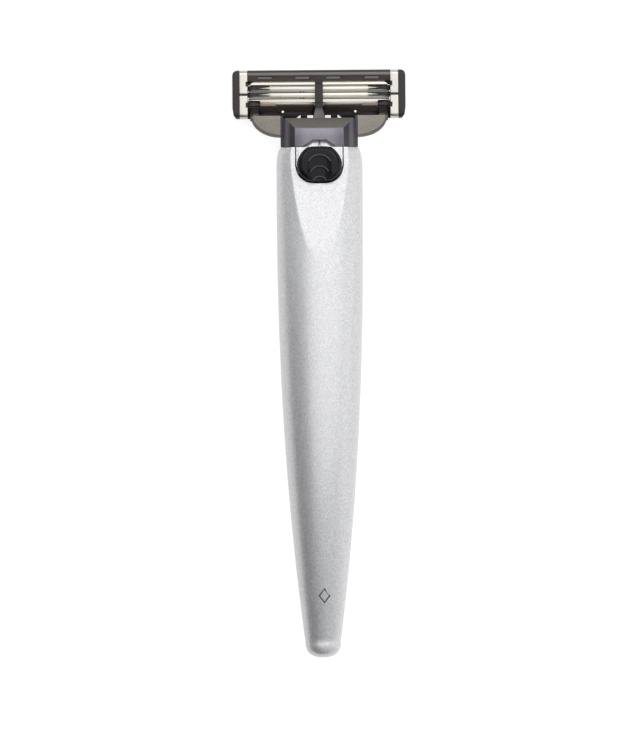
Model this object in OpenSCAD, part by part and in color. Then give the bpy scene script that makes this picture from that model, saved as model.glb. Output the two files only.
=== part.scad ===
// Pivoting three-blade cartridge razor, lying face down.
// X runs across the cartridge, +Y along the handle to the cartridge, +Z to the button side.
// The table that the razor lies on is z = 0.

/* [Overall] */
// Length from the butt to the cap edge of the cartridge
overall_length = 142.7; // [138:0.1:148]

/* [Handle] */
// Widest width of the handle
handle_width = 20.9; // [19:0.1:22]
// Width of the handle's flat top end
handle_top_width = 18.5; // [17:0.1:18.7]
// Length of the handle along Y
handle_length = 123.75; // [120:0.05:126]
// Half of the handle's greatest depth, back to front
belly_half_depth = 7.84; // [7:0.02:8.2]
// Height of the arch that the front of the handle makes above the table
front_arch = 5.1; // [4:0.1:5.4]
// Wall thickness of the two shells
shell_wall = 1.3; // [1:0.1:1.6]

/* [Neck] */
// Angle of the connector's nose below the handle's long axis, in degrees
neck_tilt = 15; // [14:0.5:16]
// Height of the thumb flat above the nose's axis
flat_height = 4.4; // [4.3:0.05:4.5]
// Length of the nose past the middle of the handle's end
nose_reach = 4.6; // [4:0.1:5]
// How far the release button slides towards the cartridge
button_travel = 3; // [2:0.1:3.2]

/* [Cartridge] */
// Width of the cartridge, end to end
cartridge_width = 42; // [41:0.1:43]
// Size of the cartridge from the guard edge to the cap edge
cartridge_length = 11.75; // [11.6:0.05:11.9]
// Depth of the cartridge, face to back
cartridge_depth = 5.6; // [5.4:0.1:5.8]
// Distance from one blade edge to the next
blade_pitch = 1.55; // [1.5:0.01:1.58]
// Angle of the blades to the face of the cartridge, in degrees
blade_angle = 22.5; // [20:0.5:25]
// Thickness of a blade
blade_thickness = 0.1; // [0.08:0.01:0.12]

/* [Hidden] */
$fn = 64;
slack = 0.01;            // overshoot of a cutting shape past the face that it cuts

// ---- stations along the handle
cap_y = overall_length / 2;              // cap edge of the cartridge
butt_y = -overall_length / 2;            // end of the butt
top_y = butt_y + handle_length;          // flat top end of the handle
butt_round = 4.05;                       // length of the rounded butt
butt_y0 = butt_y + butt_round;           // where the butt starts to round
shoulder_y = top_y - 5.4;                // where the top corners start to round
broad_y = 40;                            // below this the handle narrows
belly_y = 6;                             // deepest station
flank_y = 26;                            // above this the depth falls evenly
arch_y = 4;                              // highest station of the front's arch
half_w = handle_width / 2;
top_half_w = handle_top_width / 2;
narrow_rate = 1.5e-4;                    // narrowing of the handle: rate and power
narrow_power = 2.27;
depth_rate = 0.056;                      // fall of the half depth towards the top end
butt_half_depth = 3.7;
front_rise_top = 0.00132;                // curve of the front arch towards the top end

// ---- neck frame: its origin lies on the nose's axis, its y runs along the nose
flat_top_z = 11.96;                      // height of the thumb flat at the handle's end
neck_y = top_y - flat_height * sin(neck_tilt);
neck_z = flat_top_z - flat_height * cos(neck_tilt);

// ---- cartridge
guard_y = cap_y - cartridge_length;
pivot_y = guard_y + 2.9;                 // axis that the cartridge turns about
pivot_z = 0.5;
window_x = 17.3;                         // half length of the blade window
window_y0 = guard_y + 3.6;
window_y1 = cap_y - 2.75;
clip_x0 = 17.3;
clip_x1 = 19.3;
clip_t = 0.3;
rib_half = 0.95;
rib_top_z = 4.9;
edge_y = guard_y + 3.7;                  // first blade edge
edge_z = 0.3;
blade_half = 18.2;
blade_width = 1.1;
support_t = 0.28;
support_top_z = 2.4;
support_half = 18;
arm_x0 = 14.6;                           // the hub's bearing arms
arm_x1 = 16.7;
arc_r0 = 1.7;
arc_r1 = 2.4;
arc_from = 98;
arc_to = 146;
pivot_travel = 44;
gap = 0.05;                              // running clearance of the bearing arms

// ---- handle outline: half width, front height, half depth and middle height at a station
function butt_scale(y) = y < butt_y0 ? pow(max(0, 1 - pow((butt_y0 - y) / butt_round, 2.5)), 0.4) : 1;
function raw_half_width(y) =
    y > shoulder_y
        ? top_half_w
            + (half_w - top_half_w) * sqrt(max(0, 1 - pow((y - shoulder_y) / (top_y - shoulder_y), 2)))
        : y > broad_y ? half_w : half_w - narrow_rate * pow(broad_y - y, narrow_power);
function raw_half_depth(y) =
    y > flank_y ? belly_half_depth - depth_rate * (flank_y - belly_y) / 2 - depth_rate * (y - flank_y)
        : y > belly_y ? belly_half_depth - depth_rate / (2 * (flank_y - belly_y)) * pow(y - belly_y, 2)
        : belly_half_depth
            - (belly_half_depth - butt_half_depth) * pow((belly_y - y) / (belly_y - butt_y0), 2);
function front_z(y) =
    front_arch - (y > arch_y ? front_rise_top : front_arch / pow(arch_y - butt_y0, 2)) * pow(y - arch_y, 2);
function held(y) = max(y, butt_y0);      // the butt keeps the section where it starts to round
function mid_z(y) = front_z(held(y)) + raw_half_depth(held(y));
function half_width(y) = raw_half_width(held(y)) * butt_scale(y);
function half_depth(y) = raw_half_depth(held(y)) * butt_scale(y);

butt_steps = [for (t = [78, 66, 54, 42, 30, 18, 8]) butt_y0 - butt_round * pow(sin(t), 0.8)];
long_steps = [for (i = [0:33]) butt_y0 + i * (shoulder_y - butt_y0) / 33];
top_steps = [for (t = [20, 38, 54, 68, 80, 90]) shoulder_y + (top_y - shoulder_y) * sin(t)];
outer_steps = concat(butt_steps, long_steps, top_steps);
cavity_y0 = butt_y + 3.6;
cavity_y1 = top_y - 2;
inner_steps = [for (i = [0:22]) cavity_y0 + i * (cavity_y1 - cavity_y0) / 22];

// One ring of a half handle: an arc from +X over the side's top to -X, closed by the parting line.
function half_ring(y, side, inset, overshoot, segments) = [
    for (i = [0:segments])
        let (a = 180 * i / segments)
        [
            (half_width(y) - inset) * cos(a),
            y,
            mid_z(y) + side * ((half_depth(y) - inset) * sin(a) - (i == 0 || i == segments ? overshoot : 0))
        ]
];

// A closed half handle, side 1 for the back and -1 for the front.
module half_handle(steps, side, inset = 0, overshoot = 0, segments = 20) {
    n = segments + 1;
    rings = [for (y = steps) half_ring(y, side, inset, overshoot, segments)];
    points = [for (ring = rings) each ring];
    last = (len(steps) - 1) * n;
    walls = [
        for (j = [0:len(steps) - 2]) for (i = [0:n - 1])
            let (a = j * n + i, b = j * n + (i + 1) % n)
            each [[a, b, b + n], [a, b + n, a + n]]
    ];
    ends = [[for (i = [n - 1:-1:0]) i], [for (i = [0:n - 1]) last + i]];
    faces = concat(walls, ends);
    flipped = [for (f = faces) [for (k = [len(f) - 1:-1:0]) f[k]]];
    polyhedron(points, side > 0 ? faces : flipped);
}

// ---- placement helpers
module neck() {
    translate([0, neck_y, neck_z]) rotate([-neck_tilt, 0, 0]) children();
}

// A prism along X of a child outline drawn in (Y, Z).
module along_x(x0, x1) {
    translate([x0, 0, 0]) rotate([90, 0, 90]) linear_extrude(x1 - x0) children();
}

module both_sides() {
    for (side = [0, 1]) mirror([side, 0, 0]) children();
}

module box(low, high) {
    translate(low) cube(high - low);
}

module round_rect(low, high, r) {
    translate([low[0] + r, low[1]]) square([high[0] - low[0] - 2 * r, high[1] - low[1]]);
    translate([low[0], low[1] + r]) square([high[0] - low[0], high[1] - low[1] - 2 * r]);
    for (u = [low[0] + r, high[0] - r]) for (v = [low[1] + r, high[1] - r]) translate([u, v]) circle(r);
}

// A rod along +Y of the current frame.
module rod_y(y0, y1, r) {
    translate([0, y0, 0]) rotate([-90, 0, 0]) cylinder(h = y1 - y0, r = r);
}

// A coil of round wire along +Y, swept as one closed tube.
module coil(y0, y1, r, wire_r, turns) {
    sides = 6;
    per_turn = 14;
    steps = turns * per_turn;
    rise = y1 - y0 - 2 * wire_r;
    points = [
        for (i = [0:steps]) for (j = [0:sides - 1])
            let (a = 360 * i / per_turn, b = 360 * j / sides, rr = r + wire_r * cos(b))
            [rr * cos(a), y0 + wire_r + rise * i / steps + wire_r * sin(b), rr * sin(a)]
    ];
    walls = [
        for (i = [0:steps - 1]) for (j = [0:sides - 1])
            let (a = i * sides + j, b = i * sides + (j + 1) % sides)
            each [[a, b + sides, b], [a, a + sides, b + sides]]
    ];
    ends = [[for (j = [0:sides - 1]) j], [for (j = [sides - 1:-1:0]) steps * sides + j]];
    polyhedron(points, concat(walls, ends));
}

// ---- handle: shells, weight, connector
weight_r = 4.2;
weight_from = [0, -42, 9.05];
weight_to = [0, 12, 12.8];
weight_length = norm(weight_to - weight_from);
weight_rise = atan2(weight_to[2] - weight_from[2], weight_to[1] - weight_from[1]);
saddle_t = 1.6;
deck_half = 5.6;
deck_y = top_y - 6.4;                    // lower end of the deck that fills the shell's mouth
core_half = 5;
core_low = -3.5;
core_top = 1;
core_back = -18;
screw_at = [-12.5, -16.5];
screw_r = 0.9;
boss_r = 2.2;

module weight_rod(r, extra = 0) {
    translate(weight_from) rotate([weight_rise, 0, 0]) rod_y(-extra, weight_length + extra, r);
}

// Two ribs across each shell, hollowed to hold the weight.
module saddles() {
    difference() {
        for (y = [weight_from[1] + 8, weight_to[1] - 8])
            box([-half_w, y - saddle_t / 2, 0], [half_w, y + saddle_t / 2, 30]);
        weight_rod(weight_r + gap, 2, $fn = 32);
    }
}

// The hollow of one shell, less what stands in it.
module cavity(side) {
    difference() {
        half_handle(inner_steps, side, inset = shell_wall, overshoot = slack, segments = 12);
        saddles();
        children();
    }
}

// The room that the connector takes up in the shells.
module connector_room(clearance) {
    d = deck_half + clearance;
    translate([0, 0, neck_z]) linear_extrude(20) mouth_outline(d, deck_y - clearance);
    neck() box([-core_half - gap, core_back - 1, core_low - gap], [core_half + gap, 6, core_top + 3]);
}

module mouth_outline(half, low_y) {
    r = 2.2;
    translate([-half, low_y + r]) square([2 * half, top_y + 2 - low_y - r]);
    translate([-half + r, low_y]) square([2 * (half - r), r + 1]);
    for (x = [-half + r, half - r]) translate([x, low_y + r]) circle(r);
}

module thumb_flat_cut() {
    neck() box([-half_w - 1, -40, flat_height], [half_w + 1, 6, flat_height + 14]);
}

module shell(side) {
    difference() {
        half_handle(outer_steps, side);
        cavity(side) children();
        connector_room(0.15);
        thumb_flat_cut();
    }
}

module handle_back_shell() {
    color([0.86, 0.86, 0.85]) shell(1);
}

module screw_bosses() {
    neck() for (v = screw_at) translate([0, v, core_low - 8]) cylinder(h = 8 - gap, r = boss_r, $fn = 24);
}

module handle_front_shell() {
    color([0.86, 0.86, 0.85]) difference() {
        shell(-1) screw_bosses();
        neck() for (v = screw_at) translate([0, v, core_low - 3.2])
            cylinder(h = 5, r = screw_r + gap, $fn = 24);
    }
}

module balance_weight() {
    color([0.45, 0.46, 0.48]) weight_rod(weight_r);
}

// ---- connector with its nose, and the release mechanism inside it
nose_half = 3.6;
nose_low = -0.6;
nose_top = 3.2;
fork_low = -1;
fork_top = 1;
prong_x0 = 4;
prong_x1 = 4.9;
bar_y0 = -8;
bar_y1 = -4.2;
prong_tip = 0.9;
stem_y0 = -6.6;
stem_y1 = -4.4;
stem_half = 1.4;
spring_r = 1.1;
spring_bore_r = 1.45;
spring_end = 1;

module end_plane_cut(y) {
    box([-30, y, -10], [30, y + 40, 40]);
}

module connector_body() {
    color([0.82, 0.82, 0.8]) difference() {
        union() {
            difference() {
                union() {
                    intersection() {
                        translate([0, 0, neck_z]) linear_extrude(20) mouth_outline(deck_half, deck_y);
                        neck() box([-deck_half, -20, core_top - slack], [deck_half, 6, flat_height - 0.02]);
                    }
                    neck() box([-core_half, core_back, core_low], [core_half, 6, core_top]);
                }
                end_plane_cut(top_y);
            }
            neck() box([-nose_half, -0.5, nose_low], [nose_half, nose_reach + 1.2, nose_top]);
        }
        neck() {
            // pocket for the fork's bar, channels for its prongs
            box([-prong_x1 - 0.1, bar_y0 - 0.2, fork_low - 0.1],
                [prong_x1 + 0.1, bar_y1 + button_travel + 0.1, fork_top + 0.1]);
            both_sides() box([prong_x0 - 0.1, bar_y1, fork_low - 0.1], [prong_x1 + 0.1, 8, fork_top + 0.1]);
            // slot that the button's stem runs in
            box([-stem_half - 0.15, stem_y0 - 0.2, fork_top],
                [stem_half + 0.15, stem_y1 + button_travel + 0.2, 8]);
            // blind bore for the return spring
            rod_y(bar_y1, spring_end, spring_bore_r);
            for (v = screw_at) translate([0, v, core_low - 1]) cylinder(h = 8, r = screw_r + 0.1);
            // guide groove along the top of the nose
            box([-0.25, 0.5, nose_top - 0.35], [0.25, 8, nose_top + 1]);
        }
    }
}

module connector_screws() {
    color([0.6, 0.61, 0.63]) neck() for (v = screw_at) translate([0, v, 0]) {
        translate([0, 0, core_low - 3]) cylinder(h = core_top - core_low + 3, r = screw_r);
        difference() {
            translate([0, 0, core_top]) cylinder(h = 1.1, r = 1.7);
            box([-1.2, -0.2, core_top + 0.6], [1.2, 0.2, core_top + 2]);
            box([-0.2, -1.2, core_top + 0.6], [0.2, 1.2, core_top + 2]);
        }
    }
}

// Outline of the button: an oval with flattened ends, in the neck frame's (x, y).
button_half = 5.5;
button_y0 = -8.85;
button_y1 = -0.15;
button_floor = flat_height + 0.12;
button_top = flat_height + 2.3;
function reversed(list) = [for (k = [len(list) - 1:-1:0]) list[k]];
module button_outline(inset) {
    polygon([
        for (side = [1, -1]) for (p = side > 0 ? button_corner : reversed(button_corner))
            [side * max(0, p[0] - inset), p[1] > button_mid ? p[1] - inset : p[1] + inset]
    ]);
}
button_mid = (button_y0 + button_y1) / 2;
button_corner = [
    [2.3, button_y0], [3.6, button_y0 + 0.7], [4.9, button_y0 + 1.9], [5.4, button_y0 + 3.1],
    [button_half, button_mid + 0.2], [5.2, button_y1 - 3], [4.4, button_y1 - 1.6], [3.5, button_y1 - 0.6],
    [2.6, button_y1]
];

module release_button() {
    color([0.06, 0.06, 0.06]) neck() {
        difference() {
            hull() {
                translate([0, 0, button_floor]) linear_extrude(0.9) button_outline(0);
                translate([0, 0, button_top - 0.1]) linear_extrude(0.1) button_outline(1.5);
            }
            // three thumb steps, each lower than the one nearer the cartridge
            for (k = [0:2]) thumb_step(3.1 - 0.65 * k, -4.9 - 1.75 * k, button_top - 0.45 * (k + 1));
        }
        box([-stem_half, stem_y0, fork_top], [stem_half, stem_y1, button_floor + slack]);
    }
}

module thumb_step(r, y, z) {
    translate([0, y, z]) cylinder(h = 5, r = r);
    box([-r, y - 12, z], [r, y, z + 5]);
}

module ejector_fork() {
    color([0.25, 0.25, 0.26]) neck() {
        box([-prong_x1, bar_y0, fork_low], [prong_x1, bar_y1, fork_top]);
        both_sides() box([prong_x0, bar_y1 - slack, fork_low], [prong_x1, prong_tip, fork_top]);
    }
}

module button_spring() {
    color([0.7, 0.7, 0.72]) neck() coil(bar_y1 + 0.05, spring_end - 0.05, spring_r, 0.18, 5);
}

// ---- hub: the part that stays with the cartridge and slides onto the nose
hub_y = top_y + 0.15;
hub_half = 9.37;
hub_top_half = 5.8;
hub_top = 4.2;
hub_side_top = 0.8;
hub_side_low = -2.2;
hub_low = -4.2;
hub_low_half = 7;
hub_front_y = guard_y - 1.2;
hub_front_z = 5.9;
strip_y0 = 4.97;                         // sloping strip along the hub's front top edge
strip_y1 = 8.1;
strip_z1 = 2;
wing_low = -0.2;
wing_top = 1.2;
wing_y1 = 8.95;
wing_reach = 16.5;
wing_depth = 5.18;
tongue_low = -2.9;
tongue_top = -1;
tongue_half = 1.45;
tongue_tip_half = 0.8;
tongue_tip = 11.75;
tongue_back = 6.6;
arch_half = 4.45;
arch_top_half = 1.6;
arch_y1 = 1.95;

module hub_section() {
    polygon([
        [hub_top_half, hub_top], [hub_half, hub_side_top], [hub_half, hub_side_low], [hub_low_half, hub_low],
        [-hub_low_half, hub_low], [-hub_half, hub_side_low], [-hub_half, hub_side_top], [-hub_top_half, hub_top]
    ]);
}

module wing_outline() {
    polygon(concat(
        [[hub_half - 0.6, wing_y1 - wing_depth], [hub_half - 0.6, wing_y1]],
        [for (i = [0:12]) let (a = 90 * i / 12) [
            hub_half + (wing_reach - hub_half) * cos(a), wing_y1 - wing_depth * sin(a)
        ]]
    ));
}

module arc_band(r0, r1, from, to) {
    difference() {
        circle(r1);
        circle(r0);
        // the two half planes and the gap between them leave one sector
        rotate(from) translate([-20, -40]) square([40, 40]);
        rotate(to) translate([-20, 0]) square([40, 40]);
    }
}

function around(r, a) = [pivot_y + r * cos(a), pivot_z + r * sin(a)];

module bearing_arm() {
    along_x(arm_x0, arm_x1) {
        translate([pivot_y, pivot_z]) arc_band(arc_r0, arc_r1, arc_from, arc_to);
        polygon([
            around(arc_r0 + 0.1, arc_from), around(arc_r1, arc_from), [60.3, 5.25], [60.1, 6.2],
            [58.9, 6.2], [59.3, 5.2], around(arc_r1, 118), around(arc_r0 + 0.1, 118)
        ]);
    }
}

module cartridge_hub() {
    color([0.42, 0.41, 0.43]) {
        difference() {
            neck() rotate([-90, 0, 0]) mirror([0, 1, 0]) linear_extrude(strip_y1) hub_section();
            box([-20, 40, -5], [20, hub_y, 30]);
            box([-20, hub_front_y, -5], [20, 70, hub_front_z]);
            neck() {
                // sloping strip
                translate([0, strip_y0, hub_top])
                    rotate([-atan2(hub_top - strip_z1, strip_y1 - strip_y0), 0, 0])
                        box([-20, 0, 0], [20, 12, 12]);
                // socket for the nose
                box([-nose_half - 0.08, -1, nose_low - 0.08],
                    [nose_half + 0.08, nose_reach + 1.6, nose_top + 0.08]);
                // arch that the button's front runs over
                translate([0, 0, nose_top - slack]) linear_extrude(4) polygon([
                    [arch_half, 0], [arch_half - 0.7, 0.5], [arch_top_half, arch_y1],
                    [-arch_top_half, arch_y1], [-arch_half + 0.7, 0.5], [-arch_half, 0], [-arch_half, -3], [arch_half, -3]
                ]);
                // pockets that the fork's prongs push against
                both_sides() box([prong_x0 - 0.1, -1, fork_low - 0.1],
                    [prong_x1 + 0.1, prong_tip + button_travel + 0.2, fork_top + 0.1]);
                // tunnel for the plunger and its spring
                box([-tongue_half - gap, 2.4, tongue_low - gap], [tongue_half + gap, 20, tongue_top + gap]);
            }
        }
        both_sides() {
            neck() translate([0, 0, wing_low]) linear_extrude(wing_top - wing_low) wing_outline();
            bearing_arm();
        }
    }
}

module plunger() {
    color([0.38, 0.37, 0.37]) neck()
        translate([0, 0, tongue_low]) linear_extrude(tongue_top - tongue_low) polygon([
            [tongue_half, tongue_back], [tongue_half, 8.7], [tongue_tip_half, tongue_tip],
            [-tongue_tip_half, tongue_tip], [-tongue_half, 8.7], [-tongue_half, tongue_back]
        ]);
}

module plunger_spring() {
    color([0.7, 0.7, 0.72]) neck() translate([0, 0, (tongue_low + tongue_top) / 2])
        coil(2.45, tongue_back - 0.05, 0.7, 0.13, 5);
}

// ---- cartridge
module end_section(inset) {
    round_rect([guard_y + inset, inset + 0.001], [cap_y - inset, cartridge_depth - inset], 1.3 - inset);
}

module cartridge_plan() {
    polygon([
        for (side = [1, -1]) for (p = side > 0 ? plan_side : reversed(plan_side))
            [side * p[0], p[1]]
    ]);
}
plan_half = cartridge_width / 2;
plan_corner = 1.3;
plan_side = concat(
    [[plan_half - 0.9, guard_y], [plan_half - 0.25, guard_y + 0.9], [plan_half, guard_y + 2.6]],
    [for (a = [0:15:90])
        [plan_half - plan_corner + plan_corner * cos(a), cap_y - plan_corner + plan_corner * sin(a)]]
);

// What is cut from the solid block between the end walls, drawn in (Y, Z).
module back_relief() {
    polygon([
        [guard_y - 1, 2.6], [guard_y, 2.6], [guard_y + 0.7, 2.9], [guard_y + 0.75, 2], [guard_y + 1.7, 2],
        [guard_y + 1.7, 3.3], [window_y0, 4.4], [window_y0, 8], [guard_y - 1, 8]
    ]);
}

module front_relief() {
    // pocket for the guard strip, then the pocket for the strip carrier and its strip
    polygon([
        [guard_y - 1, -1], [guard_y - 1, 0.8], [guard_y, 0.8], [guard_y + 0.5, 0.45], [guard_y + 0.5, 1.35],
        [guard_y + 3.4, 1.35], [guard_y + 3.4, 0.45], [window_y0 + 0.1, 0.45], [window_y0 + 0.1, -1]]);
    polygon([[window_y1 - 0.1, -1], [window_y1 - 0.1, 1.95], [cap_y - 0.45, 1.95], [cap_y - 0.45, 0.5],
        [cap_y + 1, 0.2], [cap_y + 1, -1]]);
}

// The arms' slots: a bearing groove about the pivot, open to the back over the arms' travel.
module arm_slot() {
    along_x(arm_x0 - 0.2, arm_x1 + 0.2) translate([pivot_y, pivot_z]) {
        arc_band(arc_r0 - gap, arc_r1 + gap, arc_from - pivot_travel - 2, arc_to + 2.5);
        arc_band(arc_r1 - 0.1, 9, arc_from - pivot_travel - 2, 128);
    }
}

module unit_pocket(k) {
    y = edge_y + k * blade_pitch;
    box([window_x - 1, y - 0.12, -1], [blade_half + 0.15, y + 1.18, support_top_z + 0.5]);
}

module cartridge_housing() {
    color([0.2, 0.19, 0.19]) {
        difference() {
            intersection() {
                along_x(-plan_half, plan_half) round_rect([guard_y, 0.15], [cap_y, cartridge_depth], 1.3);
                translate([0, 0, -1]) linear_extrude(10) cartridge_plan();
            }
            along_x(-window_x, window_x) back_relief();
            along_x(-window_x, window_x) front_relief();
            both_sides() {
                box([rib_half, window_y0, -1], [window_x, window_y1, 8]);
                // seat of the clip, its depth all round the section
                along_x(clip_x0, clip_x1) difference() {
                    translate([guard_y - 1, -1]) square([cartridge_length + 2, cartridge_depth + 2]);
                    end_section(clip_t + 0.02);
                }
                arm_slot();
                for (k = [0:2]) unit_pocket(k);
                // light gaps in the guard edge
                box([1.45, guard_y - 1, -1], [2.85, guard_y + 0.85, 8]);
                translate([0, 0, -1]) linear_extrude(9)
                    polygon([
                        [4.5, guard_y - 1], [6, guard_y - 1], [5.8, guard_y],
                        [4.7, guard_y + 0.85], [4.5, guard_y + 0.85]
                    ]);
            }
            // room for the blades under the middle rib, and for the plunger before it
            box([-rib_half - 1, window_y0 - 0.1, -1], [rib_half + 1, window_y1, support_top_z + 0.5]);
            box([-rib_half - 1, window_y0 - 1, rib_top_z], [rib_half + 1, window_y1 - 0.5, 8]);
            box([-tongue_half - 0.2, guard_y - 1, 1.65], [tongue_half + 0.2, pivot_y - 0.15, 8]);
        }
        // the middle rib's foot, which the plunger pushes against
        box([-rib_half, pivot_y - 0.15, 1.4], [rib_half, window_y0 + 0.2, rib_top_z]);
        both_sides() {
            // round posts in the recess
            translate([8.8, guard_y + 1.55, 1.9]) cylinder(h = 1.5, r = 0.45);
            // spring fingers behind the ends of the second and third blades
            for (k = [1, 2]) box([12, edge_y + k * blade_pitch + 0.35, support_top_z + 0.4],
                [window_x + slack, edge_y + k * blade_pitch + 0.85, support_top_z + 0.9]);
            // leaf spring behind the first blade, rooted in the guard bar
            translate([0, 0, support_top_z + 0.4]) linear_extrude(0.5) polygon([
                [10.4, window_y0 - 0.1], [11.4, window_y0 + 0.75],
                [12.6, window_y0 + 1], [13.8, window_y0 + 0.75],
                [14.2, window_y0 - 0.1]
            ]);
        }
    }
}

module clip() {
    color([0.9, 0.89, 0.87]) difference() {
        along_x(clip_x0 + 0.02, clip_x1 - 0.02) difference() {
            round_rect([guard_y, 0], [cap_y, cartridge_depth], 1.3);
            end_section(clip_t);
            // the ends of the strip meet behind the cartridge, a small gap apart
            translate([guard_y + 5.55, cartridge_depth - 1]) square([0.5, 2]);
        }
        for (y = [guard_y + 2.7, guard_y + 7.8])
            box([clip_x0 - 1, y, cartridge_depth - 1], [clip_x0 + 0.45, y + 1.1, 8]);
    }
}

module clip_right() {
    clip();
}

module clip_left() {
    mirror([1, 0, 0]) clip();
}

fin_count = 5;
module guard_strip() {
    color([0.12, 0.3, 0.42]) {
        box([-17, guard_y + 0.55, 0.75], [17, guard_y + 3.35, 1.33]);
        for (k = [0:fin_count - 1])
            box([-17, guard_y + 0.6 + 0.6 * k, 0.25], [17, guard_y + 0.88 + 0.6 * k, 0.76]);
    }
}

carrier_y0 = cap_y - 3.76;
module strip_carrier() {
    color([0.9, 0.88, 0.84]) translate([0, 0, 1.05]) linear_extrude(0.87) polygon([
        for (side = [1, -1]) for (p = side > 0
            ? [[16.6, carrier_y0], [17.2, carrier_y0 + 0.9], [17.2, cap_y - 0.5]]
            : [[17.2, cap_y - 0.5], [17.2, carrier_y0 + 0.9], [16.6, carrier_y0]])
            [side * p[0], p[1]]
    ]);
}

module lubricating_strip() {
    color([0.72, 0.86, 0.8]) box([-16.6, cap_y - 3.25, 0], [16.6, cap_y - 0.55, 1.03]);
}

// ---- blade units: a thin blade welded to a bent support
module blade(k) {
    color([0.86, 0.86, 0.85]) along_x(-blade_half, blade_half)
        translate([edge_y + k * blade_pitch, edge_z]) rotate(blade_angle) polygon([
            [0, 0], [blade_width, 0], [blade_width, blade_thickness], [0.3, blade_thickness]
        ]);
}

module blade_support(k) {
    leg_y = edge_y + k * blade_pitch + 0.8;
    color([0.8, 0.79, 0.76]) difference() {
        along_x(-support_half, support_half) {
            translate([edge_y + k * blade_pitch, edge_z]) rotate(blade_angle)
                translate([0.36, blade_thickness]) square([0.62, support_t]);
            translate([leg_y, 0.85]) square([support_t, support_top_z - 0.85]);
        }
        // the legs are notched round the housing's middle rib
        box([-rib_half - 0.3, leg_y - 0.2, support_top_z - 0.3], [rib_half + 0.3, leg_y + 0.6, 8]);
    }
}

handle_back_shell();
handle_front_shell();
balance_weight();
connector_body();
connector_screws();
release_button();
ejector_fork();
button_spring();
cartridge_hub();
plunger();
plunger_spring();
cartridge_housing();
clip_left();
clip_right();
guard_strip();
strip_carrier();
lubricating_strip();
blade_support(0);  // blade_support_1
blade_support(1);  // blade_support_2
blade_support(2);  // blade_support_3
blade(0);  // blade_1
blade(1);  // blade_2
blade(2);  // blade_3
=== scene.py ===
"""Cartridge razor lying face down: the looks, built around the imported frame."""
import logging
import math
from contextlib import contextmanager
from dataclasses import dataclass
from enum import Enum
from typing import Callable, Iterator, Sequence

import bmesh
import bpy
from mathutils import Euler, Matrix, Vector


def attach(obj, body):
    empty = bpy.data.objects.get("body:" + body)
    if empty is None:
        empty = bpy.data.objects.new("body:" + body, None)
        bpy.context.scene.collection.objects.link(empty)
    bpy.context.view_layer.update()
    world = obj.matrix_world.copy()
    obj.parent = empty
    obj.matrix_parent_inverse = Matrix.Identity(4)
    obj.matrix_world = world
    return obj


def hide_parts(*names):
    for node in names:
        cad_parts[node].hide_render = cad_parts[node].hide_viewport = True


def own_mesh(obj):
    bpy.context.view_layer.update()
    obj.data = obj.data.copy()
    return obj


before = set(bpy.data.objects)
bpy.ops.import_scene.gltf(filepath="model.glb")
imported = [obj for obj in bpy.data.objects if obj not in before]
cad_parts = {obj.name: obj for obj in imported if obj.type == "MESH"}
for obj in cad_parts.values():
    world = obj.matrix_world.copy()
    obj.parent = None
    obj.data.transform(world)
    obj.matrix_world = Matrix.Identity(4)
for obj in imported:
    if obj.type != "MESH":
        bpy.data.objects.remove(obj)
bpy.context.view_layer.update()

MM = 0.001
LOG = logging.getLogger("razor")
# The neck's own frame: its origin in millimetres, tipped down towards the cartridge
NECK_Y, NECK_Z, NECK_TILT = 51.2612, 7.7099, math.radians(15)
NECK = Matrix.Translation((0, NECK_Y * MM, NECK_Z * MM)) @ Matrix.Rotation(-NECK_TILT, 4, "X")
Point = tuple[float, float, float]
Colour = tuple[float, float, float]


def srgb(r: float, g: float, b: float) -> Colour:
    """Turn a display colour into the linear colour that a shader takes.

    Args:
        r: Red, 0 to 255.
        g: Green, 0 to 255.
        b: Blue, 0 to 255.

    Returns:
        The linear colour.
    """
    def one(c: float) -> float:
        """Linear value of one channel."""
        c /= 255
        return c / 12.92 if c <= 0.04045 else ((c + 0.055) / 1.055) ** 2.4
    return one(r), one(g), one(b)


class Body(Enum):
    """The bodies that a piece can ride on."""

    HANDLE = "handle"
    BUTTON = "button"
    HUB = "hub"
    PLUNGER = "plunger"
    CARTRIDGE = "cartridge"
    UNIT_1 = "blade_unit_1"
    UNIT_2 = "blade_unit_2"
    UNIT_3 = "blade_unit_3"


class Slot(Enum):
    """The record's material slots."""

    LACQUER = "handle_lacquer"
    WEIGHT = "weight_steel"
    CONNECTOR = "connector_metal"
    SCREW = "screw_steel"
    BUTTON = "button_black"
    FORK = "fork_plastic"
    SPRING = "spring_steel"
    HUB = "hub_plastic"
    PLUNGER = "plunger_plastic"
    HOUSING = "housing_plastic"
    CLIP = "clip_aluminium"
    GUARD = "guard_rubber"
    CARRIER = "carrier_plastic"
    GEL = "strip_gel"
    SUPPORT = "support_steel"
    BLADE = "blade_steel"


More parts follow.
